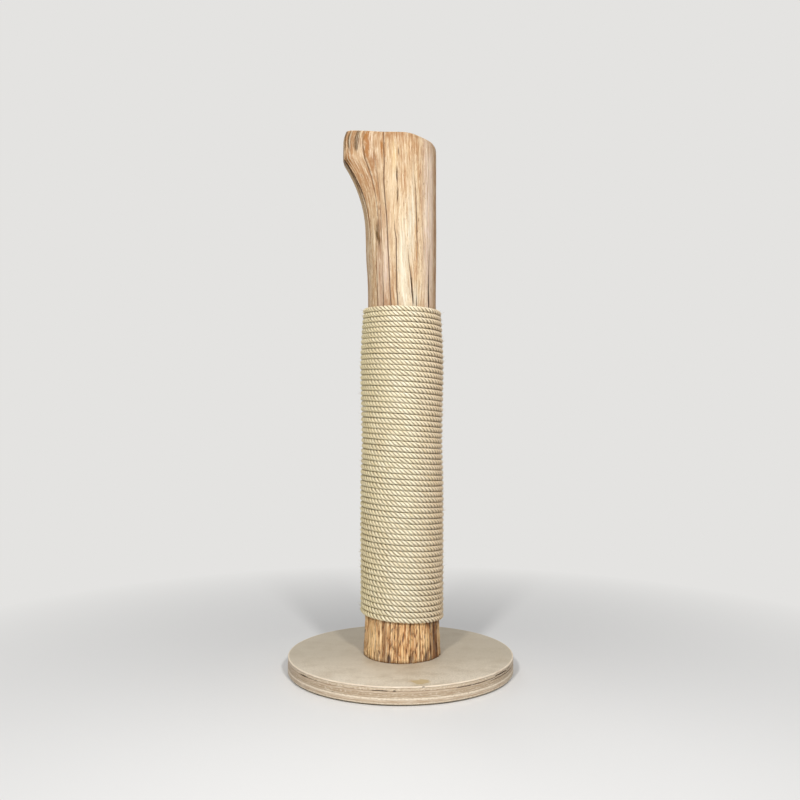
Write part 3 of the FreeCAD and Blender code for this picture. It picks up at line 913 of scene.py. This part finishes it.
def makeStrandTree(material):  # lays three strands round a curve, each a closed tube
    tree, given, result = geometryTree("laidRope", [
        ("Strand Radius", "Float", 0.0021), ("Strand Offset", "Float", 0.0024), ("Press", "Float", 1.0),
        ("Ring Spacing", "Float", 0.002), ("Sides", "Int", 9), ("Start Length", "Float", 0.0),
        ("Wander", "Float", 1.0), ("Unevenness", "Float", 0.1)])
    even = addNode(tree, "GeometryNodeResampleCurve", {
        "Curve": given["Geometry"], "Length": given["Ring Spacing"]}, mode="LENGTH")
    twisted = capture(tree, even.outputs[0], "FLOAT", "twist",
                      addNode(tree, "GeometryNodeInputCurveTilt").outputs[0])
    plain = addNode(tree, "GeometryNodeSetCurveTilt", {"Curve": twisted[0], "Tilt": 0.0})
    steady = addNode(tree, "GeometryNodeSetCurveNormal", {"Curve": plain.outputs[0]}, mode="Z_UP")
    three = addNode(tree, "GeometryNodeDuplicateElements", {
        "Geometry": steady.outputs[0], "Amount": 3}, domain="SPLINE")
    index = three.outputs["Duplicate Index"]
    length = addNode(tree, "GeometryNodeSplineParameter").outputs["Length"]
    length = maths(tree, "ADD", length, given["Start Length"])
    wander = noiseTexture(tree, {"W": length, "Scale": 18.0, "Detail": 1.5}, noise_dimensions="1D")
    wander = maths(tree, "SUBTRACT", wander, 0.5)
    angle = maths(tree, "MULTIPLY_ADD", wander, given["Wander"], twisted[1])
    angle = maths(tree, "MULTIPLY_ADD", index, 2 * math.pi / 3, angle)
    normal = addNode(tree, "GeometryNodeInputNormal").outputs[0]
    tangent = addNode(tree, "GeometryNodeInputTangent").outputs[0]
    side = vectorMaths(tree, "CROSS_PRODUCT", tangent, normal)
    across = vectorMaths(tree, "SCALE", normal, maths(tree, "COSINE", angle))
    along = vectorMaths(tree, "SCALE", side, maths(tree, "SINE", angle))
    offset = vectorMaths(tree, "SCALE", vectorMaths(tree, "ADD", across, along), given["Strand Offset"])
    wide = maths(tree, "DIVIDE", 1.0, given["Press"])
    offset = vectorMaths(tree, "MULTIPLY", offset, combine(tree, wide, wide, given["Press"]))
    position = addNode(tree, "GeometryNodeInputPosition").outputs[0]
    middle = capture(tree, three.outputs[0], "VECTOR", "middle", position)
    laid = addNode(tree, "GeometryNodeSetPosition", {"Geometry": middle[0], "Offset": offset})

    plump = noiseTexture(tree, {
        "W": maths(tree, "MULTIPLY_ADD", index, 7.3, length), "Scale": 60.0, "Detail": 2.0},
        noise_dimensions="1D")
    plump = maths(tree, "SUBTRACT", plump, 0.5)
    radius = maths(tree, "MULTIPLY_ADD", plump, given["Unevenness"], 1.0)
    sized = addNode(tree, "GeometryNodeSetCurveRadius", {"Curve": laid.outputs[0], "Radius": radius})
    circle = addNode(tree, "GeometryNodeCurvePrimitiveCircle", {
        "Resolution": given["Sides"], "Radius": given["Strand Radius"]})
    apart = maths(tree, "MULTIPLY_ADD", index, 40.0, length)  # so that no two strands look alike
    strand = capture(tree, sized.outputs[0], "FLOAT", "length", apart)
    outline = capture(tree, circle.outputs[0], "FLOAT", "around",
                      addNode(tree, "GeometryNodeSplineParameter").outputs["Factor"])
    tube = addNode(tree, "GeometryNodeCurveToMesh", {
        "Curve": strand[0], "Profile Curve": outline[0], "Fill Caps": True})

    roll = maths(tree, "MULTIPLY_ADD", strand[1], -2 * math.pi / rope["fibreTurn"],
                 maths(tree, "MULTIPLY", outline[1], 2 * math.pi))
    fibre = combine(tree, maths(tree, "MULTIPLY", maths(tree, "COSINE", roll), given["Strand Radius"]),
                    maths(tree, "MULTIPLY", maths(tree, "SINE", roll), given["Strand Radius"]), strand[1])
    stored = store(tree, tube.outputs[0], "FLOAT_VECTOR", "strand", fibre)
    fromMiddle = vectorMaths(tree, "SUBTRACT", position, middle[1])
    rise = maths(tree, "ABSOLUTE", component(tree, fromMiddle, "Z"))
    outside = maths(tree, "ADD", given["Strand Offset"], given["Strand Radius"])
    inside = maths(tree, "MULTIPLY", given["Strand Offset"], 1.1)
    # painted shade: valleyShade is 1 deep in the grooves between the strands, and 'between' gives up to 0.3
    # at the top and bottom of the rope, where the turns meet; the material darkens both
    valleyShade = remap(tree, vectorLength(tree, fromMiddle), inside, outside, 1.0, 0.0)
    between = remap(tree, rise, maths(tree, "MULTIPLY", outside, 0.75), outside, 0.0, 0.3)
    shaded = store(tree, stored, "FLOAT", "valleyShade", maths(tree, "MAXIMUM", valleyShade, between))
    smooth = addNode(tree, "GeometryNodeSetShadeSmooth", {0: shaded})
    tree.links.new(withMaterial(tree, smooth.outputs[0], material), result["Geometry"])
    return tree


def applyTree(source, tree, values, name):  # the tree's result as a plain mesh of its own
    modifier = source.modifiers.new(tree.name, "NODES")
    modifier.node_group = tree
    for item in tree.interface.items_tree:
        if item.in_out == "INPUT" and item.name in values:
            modifier[item.identifier] = values[item.name]
    source.update_tag()
    bpy.context.view_layer.update()
    ready = source.evaluated_get(bpy.context.evaluated_depsgraph_get())
    mesh = bpy.data.meshes.new_from_object(ready)
    mesh.name = name
    made = bpy.data.objects.new(name, mesh)
    bpy.context.collection.objects.link(made)
    source.modifiers.remove(modifier)
    return made


def buildRope(material):
    route, twist = ropeRoute(cadTree("trunk"))
    steps = np.linalg.norm(np.diff(route, axis=0), axis=1)
    lengths = np.append(0, np.cumsum(steps))
    tree = makeStrandTree(material)
    pieces = []
    cuts = np.linspace(0, len(route) - 1, rope["sections"] + 1).round().astype(int)
    for i, (start, end) in enumerate(zip(cuts, cuts[1:])):
        path = lineCurve("rope_path", route[start:end + 1], twist[start:end + 1])
        made = applyTree(path, tree, {
            "Strand Radius": rope["strandRadius"], "Strand Offset": rope["strandOffset"],
            "Press": rope["press"], "Ring Spacing": rope["ring"], "Sides": rope["sides"],
            "Start Length": float(lengths[start]), "Wander": rope["wander"],
            "Unevenness": rope["plump"]}, "sisal_winding_%d" % (i + 1))
        bpy.data.objects.remove(path)
        pieces.append(made)
    faceCount = sum(len(piece.data.polygons) for piece in pieces)
    print("rope", round(float(lengths[-1]), 3), "m,", faceCount, "faces")
    return pieces


def makeSisalMaterial(name, light, dark):
    material, tree, shader = newMaterial(name, Roughness=0.6, Specular_IOR_Level=0.4, Sheen_Weight=0.15,
                                         Sheen_Roughness=0.4)
    strand = attribute(tree, "strand", "Vector")
    position = objectPosition(tree)
    yarns = streaks(tree, strand, 0.0009, 22, 3.0, 2.6)
    hairs = streaks(tree, strand, 0.0003, 40, 8.0, 3.0)
    patches = streaks(tree, strand, 0.006, 9, 13.0, 2.2)
    colour = mixColours(tree, yarns, dark, light)
    colour = tint(tree, colour, remap(tree, hairs, 0.0, 0.4, 0.5, 0.0), (176, 152, 108))
    colour = tint(tree, colour, remap(tree, hairs, 0.6, 1.0, 0.0, 0.7), (255, 252, 238))
    colour = tint(tree, colour, remap(tree, patches, 0.2, 0.8, 0.3, 0.0), (210, 190, 142))
    # painted shade, partly the rope's own tone: the left and right sides (by X) are tinted darker, olive at
    # the left and tan at the right, as the sides that face away from the lamps
    side = component(tree, position, "X")
    colour = tint(tree, colour, remap(tree, side, 0.02, 0.07, 0.0, 0.45), (206, 164, 118))
    colour = tint(tree, colour, remap(tree, side, -0.01, -0.07, 0.0, 0.45), (204, 184, 104))
    colour = tint(tree, colour, soil(tree, position, 0.12, 0.25), (224, 202, 164))
    # painted shade: darker brown in the grooves between the strands and where the turns meet
    valleyShade = remap(tree, attribute(tree, "valleyShade"), 0.14, 0.75, 0.0, 0.85)
    colour = tint(tree, colour, valleyShade, (126, 98, 56))
    tree.links.new(colour, shader.inputs["Base Color"])
    tree.links.new(remap(tree, hairs, 0, 1, 0.72, 0.46), shader.inputs["Roughness"])
    bump(tree, shader, maths(tree, "MULTIPLY_ADD", hairs, 0.5, yarns), 0.35 * mm, 0.9)
    return material


# Fuzz of the rope

fuzz = {"density": 9500.0, "length": 6.5 * mm, "thickness": 0.09 * mm, "seed": 4}


def makeFuzzTree(material):  # loose fibres that stand out of the strands
    tree, given, result = geometryTree("looseFibres", [
        ("Density", "Float", 1000.0), ("Length", "Float", 0.006), ("Thickness", "Float", 0.0001),
        ("Seed", "Int", 0)])
    spots = addNode(tree, "GeometryNodeDistributePointsOnFaces", {
        "Mesh": given["Geometry"], "Density": given["Density"], "Seed": given["Seed"]})
    tangent = vectorMaths(tree, "CROSS_PRODUCT", spots.outputs["Normal"], (0.0, 0.0, 1.0))
    stray = addNode(tree, "FunctionNodeRandomValue", {"Seed": 5}, data_type="FLOAT_VECTOR")
    stray.inputs[0].default_value, stray.inputs[1].default_value = (-0.5, -0.5, -0.5), (0.5, 0.5, 0.5)
    leaning = vectorMaths(tree, "ADD", vectorMaths(tree, "SCALE", tangent, 0.9), stray.outputs[0])
    leaning = vectorMaths(tree, "ADD", leaning, vectorMaths(tree, "SCALE", spots.outputs["Normal"], 0.42))
    aim = addNode(tree, "FunctionNodeAlignRotationToVector", {"Vector": leaning})
    aim.axis = "X"
    curl = addNode(tree, "GeometryNodeCurvePrimitiveBezierSegment")
    curl.inputs["Resolution"].default_value = 5
    for key, share in (("Start", (0.0, 0.0)), ("Start Handle", (0.35, 0.02)), ("End Handle", (0.7, 0.2)),
                       ("End", (1.0, 0.12))):
        along = maths(tree, "MULTIPLY", given["Length"], share[0])
        away = maths(tree, "MULTIPLY", given["Length"], share[1])
        tree.links.new(combine(tree, along, 0.0, away), curl.inputs[key])
    outline = addNode(tree, "GeometryNodeCurvePrimitiveCircle", {
        "Resolution": 3, "Radius": given["Thickness"]})
    hair = addNode(tree, "GeometryNodeCurveToMesh", {
        "Curve": curl.outputs[0], "Profile Curve": outline.outputs[0], "Fill Caps": True})
    size = addNode(tree, "FunctionNodeRandomValue", {"Seed": 9}, data_type="FLOAT")
    size.inputs[2].default_value, size.inputs[3].default_value = 0.4, 1.3
    placed = addNode(tree, "GeometryNodeInstanceOnPoints", {
        "Points": spots.outputs["Points"], "Instance": hair.outputs[0], "Rotation": aim.outputs[0],
        "Scale": size.outputs[1]})
    tree.links.new(withMaterial(tree, placed.outputs[0], material), result["Geometry"])
    return tree


# Steel and felt

def makeSteelMaterial(name, colour, scratch):
    material, tree, shader = newMaterial(name, Metallic=1.0, Roughness=0.35)
    position = objectPosition(tree)
    lines = streaks(tree, position, scratch, 3, 4.0, 2.0)
    dull = soil(tree, position, 0.003, 0.8)
    tone = mixColours(tree, dull, colour, srgb(120, 112, 98))
    tree.links.new(tone, shader.inputs["Base Color"])
    tree.links.new(maths(tree, "MULTIPLY_ADD", dull, 0.25, remap(tree, lines, 0, 1, 0.26, 0.4)),
                   shader.inputs["Roughness"])
    bump(tree, shader, lines, 0.03 * mm, 0.5)
    return material


def makeFeltMaterial():
    material, tree, shader = newMaterial("felt", Roughness=0.95, Specular_IOR_Level=0.15, Sheen_Weight=0.4)
    position = objectPosition(tree)
    matted = noiseTexture(tree, {"Vector": position, "Scale": 900.0, "Detail": 5.0})
    colour = mixColours(tree, matted, srgb(58, 50, 44), srgb(128, 116, 104))
    tree.links.new(colour, shader.inputs["Base Color"])
    bump(tree, shader, matted, 0.4 * mm, 0.8)
    return material


felt = {"radius": 15 * mm, "sides": 64, "bulge": 0.35 * mm, "round": 0.6 * mm, "rough": 0.12 * mm}


def buildPads(material):
    low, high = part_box("felt_pads")
    tall = high.z - low.z
    radius = felt["radius"]
    circle = high.y - radius
    profile = [(radius * share, low.z) for share in (0.3, 0.6, 0.85)]
    for turn in np.radians((-90, -45, 0)):
        profile.append((radius - felt["round"] + felt["round"] * math.cos(turn),
                        low.z + felt["round"] * (1 + math.sin(turn))))
    profile += [(radius + felt["bulge"] * 0.5, low.z + tall * 0.5), (radius - 0.1 * mm, high.z - 0.5 * mm),
                (radius - 0.3 * mm, high.z)]
    points, faces = [], []
    turn = 2 * math.pi * np.arange(felt["sides"]) / felt["sides"]
    rng = np.random.default_rng(31)
    for i in range(6):
        angle = math.radians(30 + 60 * i)
        x, y = circle * math.cos(angle), circle * math.sin(angle)
        first = sum(len(ring) for ring in points)
        for reach, height in profile:
            rough = reach + (felt["rough"] * rng.uniform(-1, 1, felt["sides"]) if height > low.z else 0)
            points.append(np.stack([x + rough * np.cos(turn), y + rough * np.sin(turn),
                                    np.full(felt["sides"], height)], axis=1))
        points.append(np.array([[x, y, low.z], [x, y, high.z]]))
        faces += ringFaces(len(profile), felt["sides"], first)
        end = first + len(profile) * felt["sides"]
        for k in range(felt["sides"]):
            n = (k + 1) % felt["sides"]
            faces.append((first + n, first + k, end))
            faces.append((end - felt["sides"] + k, end - felt["sides"] + n, end + 1))
    return meshObject("felt_glides", np.concatenate(points), faces, material)


# Stage

stage = {
    "paper": (228, 227, 225),      # of the backdrop, and of the floor further away
    "lit": (231, 230, 228),        # of the floor that takes the shadow
    "halfSize": 9.0,
    "litReach": 0.35,              # the floor is lit up to here from the middle
    "plainFrom": 1.1,              # and plain from here on
    "skyTone": (236, 238, 242),    # of the light from the world
    "worldStrength": 0.28,
    "lampAim": (0, 0, 0.45),
}

lamps = (  # name, place, disk size and power
    ("key_right", (0.52, -1.72, 1.34), 0.2, 21.0), ("key_left", (-0.52, -1.72, 1.34), 0.2, 21.0),
    ("fill_top", (0.2, 0.3, 2.8), 1.6, 5.0), ("fill_back", (-0.8, 2.0, 1.8), 1.2, 6.0),
)


def seenDirectly(tree):  # 1 for the camera and for what shows in a mirror or through glass
    path = addNode(tree, "ShaderNodeLightPath").outputs
    mirrored = maths(tree, "MAXIMUM", path["Is Glossy Ray"], path["Is Transmission Ray"])
    return maths(tree, "MAXIMUM", path["Is Camera Ray"], mirrored)


def makeFloorMaterial():  # takes the object's shadow, and turns plain and pale further away
    material, tree, shader = newMaterial("floor", Roughness=0.85)
    shader.inputs["Base Color"].default_value = srgb(*stage["lit"])
    position = objectPosition(tree)
    away = remap(tree, vectorLength(tree, position), stage["litReach"], stage["plainFrom"], 0.0, 1.0)
    plain = maths(tree, "MULTIPLY", away, seenDirectly(tree))
    glow = addNode(tree, "ShaderNodeEmission", {"Color": srgb(*stage["paper"]), "Strength": 1.0})
    mixed = addNode(tree, "ShaderNodeMixShader", {0: plain, 1: shader.outputs[0], 2: glow.outputs[0]})
    output = next(item for item in tree.nodes if item.type == "OUTPUT_MATERIAL")
    tree.links.new(mixed.outputs[0], output.inputs["Surface"])
    return material


def buildStage():
    half = stage["halfSize"]
    corners = [(-half, -half, 0), (half, -half, 0), (half, half, 0), (-half, half, 0)]
    meshObject("floor", corners, [(0, 1, 2, 3)], makeFloorMaterial())

    world = bpy.data.worlds.new("studio")
    bpy.context.scene.world = world
    world.use_nodes = True
    tree = world.node_tree
    background = next(item for item in tree.nodes if item.type == "BACKGROUND")
    seen = seenDirectly(tree)
    colour = mixColours(tree, seen, srgb(*stage["skyTone"]), srgb(*stage["paper"]))
    tree.links.new(colour, background.inputs["Color"])
    tree.links.new(remap(tree, seen, 0, 1, stage["worldStrength"], 1.0), background.inputs["Strength"])

    for name, place, size, power in lamps:
        lamp = bpy.data.lights.new(name, "AREA")
        lamp.shape, lamp.size, lamp.energy = "DISK", size, power
        made = bpy.data.objects.new(name, lamp)
        made.location = place
        aim = Vector(stage["lampAim"]) - Vector(place)
        made.rotation_euler = aim.to_track_quat("-Z", "Y").to_euler()
        bpy.context.collection.objects.link(made)


view = {
    "place": (-1.0 * mm, -1485.2 * mm, 433.9 * mm),
    "pitch": 1.857,                # degrees up
    "lens": 36.945,
}


def buildCamera():
    camera = bpy.data.cameras.new("camera")
    camera.lens, camera.sensor_width = view["lens"], 36
    made = bpy.data.objects.new("camera", camera)
    made.location = view["place"]
    made.rotation_euler = (math.radians(90 + view["pitch"]), 0, 0)
    bpy.context.collection.objects.link(made)
    bpy.context.scene.camera = made


bpy.context.scene.view_settings.view_transform = "Standard"
buildCamera()
buildStage()
print("stage ready")

trunkPiece = buildLog(makeLogMaterial())
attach(trunkPiece, "root")
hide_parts("trunk")
print("log", len(trunkPiece.data.polygons), "faces")

platePiece = buildPlate(makePlywoodMaterial())
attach(platePiece, "root")
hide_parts("base_plate")
print("plate", len(platePiece.data.polygons), "faces")

sisal = makeSisalMaterial("sisal_strands", srgb(255, 251, 232), srgb(240, 226, 188))
ropePieces = buildRope(sisal)
ropeNodes = ("sisal_rope_lower", "sisal_rope_middle", "sisal_rope_upper")
for i, piece in enumerate(ropePieces):
    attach(piece, "root")
    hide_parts(ropeNodes[i * 3 // len(ropePieces)])

fibres = makeSisalMaterial("sisal_fibres", srgb(255, 250, 232), srgb(242, 230, 196))
fuzzTree = makeFuzzTree(fibres)
for i, piece in enumerate(ropePieces):
    hairs = applyTree(piece, fuzzTree, {
        "Density": fuzz["density"], "Length": fuzz["length"], "Thickness": fuzz["thickness"],
        "Seed": fuzz["seed"] + i}, "sisal_fuzz_%d" % (i + 1))
    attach(hairs, "root")
    print("fuzz", len(hairs.data.polygons), "faces")

padPiece = buildPads(makeFeltMaterial())
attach(padPiece, "root")
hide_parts("felt_pads")

for node, material in (("trunk_screws", makeSteelMaterial("zinc_steel", srgb(206, 200, 182), 0.0006)),
                       ("rope_staples", makeSteelMaterial("staple_wire", srgb(190, 190, 192), 0.0004))):
    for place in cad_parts[node].material_slots:
        place.material = material
print("pads, screws and staples ready")
